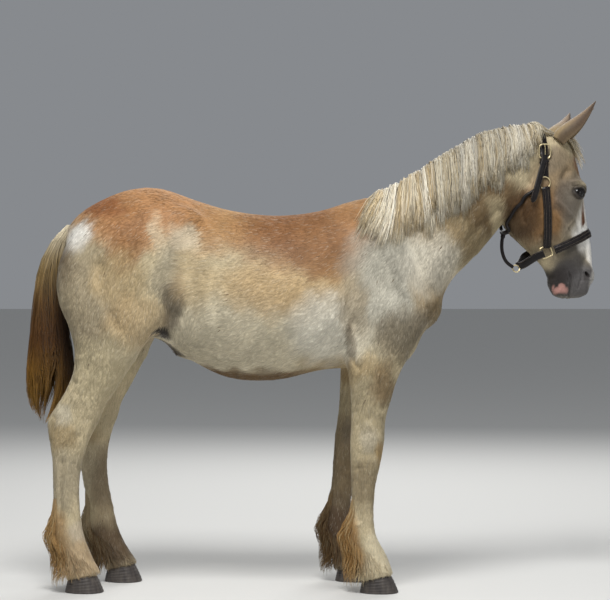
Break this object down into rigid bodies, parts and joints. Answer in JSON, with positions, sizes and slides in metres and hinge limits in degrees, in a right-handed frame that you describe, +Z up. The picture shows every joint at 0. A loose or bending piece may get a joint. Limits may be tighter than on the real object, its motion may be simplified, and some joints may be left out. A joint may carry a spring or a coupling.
{
  "type": "belgian draft horse",
  "caption": "Life-size still model of a young Belgian draft horse in a leather halter, standing square on four feathered legs with its head turned slightly left.",
  "frame": {"origin": "on the ground under the middle of the horse's bounding box", "axes": "+X the way the horse faces, +Y to its left, +Z up"},
  "size_m": [2.1848, 0.5842, 1.8742],
  "materials": {
    "coat": "short sorrel roan hair",
    "hair": "long flaxen hair",
    "hoof": "dark horn, dull",
    "eye": "wet and glossy",
    "leather": "dark brown, waxed and stitched",
    "brass": "polished"
  },
  "bodies": {
    "root": {"torso": "coat", "neck": "coat", "head": "coat", "ear_right": "coat", "ear_left": "coat", "eye_right": "eye", "eye_left": "eye", "tail": "hair", "thigh_right": "coat", "thigh_left": "coat", "hind_leg_right": "coat", "hind_leg_left": "coat", "forearm_right": "coat", "forearm_left": "coat", "fore_leg_right": "coat", "fore_leg_left": "coat", "hind_hoof_right": "hoof", "hind_hoof_left": "hoof", "fore_hoof_right": "hoof", "fore_hoof_left": "hoof", "halter_crown_strap": "leather", "halter_noseband": "leather", "halter_throat_strap": "leather", "halter_hanging_strap": "leather", "halter_buckle_strap_right": "leather", "halter_buckle_strap_left": "leather", "halter_cheek_strap_right": "leather", "halter_cheek_strap_left": "leather", "halter_billet_right": "leather", "halter_billet_left": "leather", "halter_chin_strap_right": "leather", "halter_chin_strap_left": "leather", "halter_chin_ring": "brass", "halter_buckle_right": "brass", "halter_buckle_left": "brass", "halter_upper_ring_right": "brass", "halter_upper_ring_left": "brass", "halter_square_ring_right": "brass", "halter_square_ring_left": "brass"}
  },
  "joints": []
}
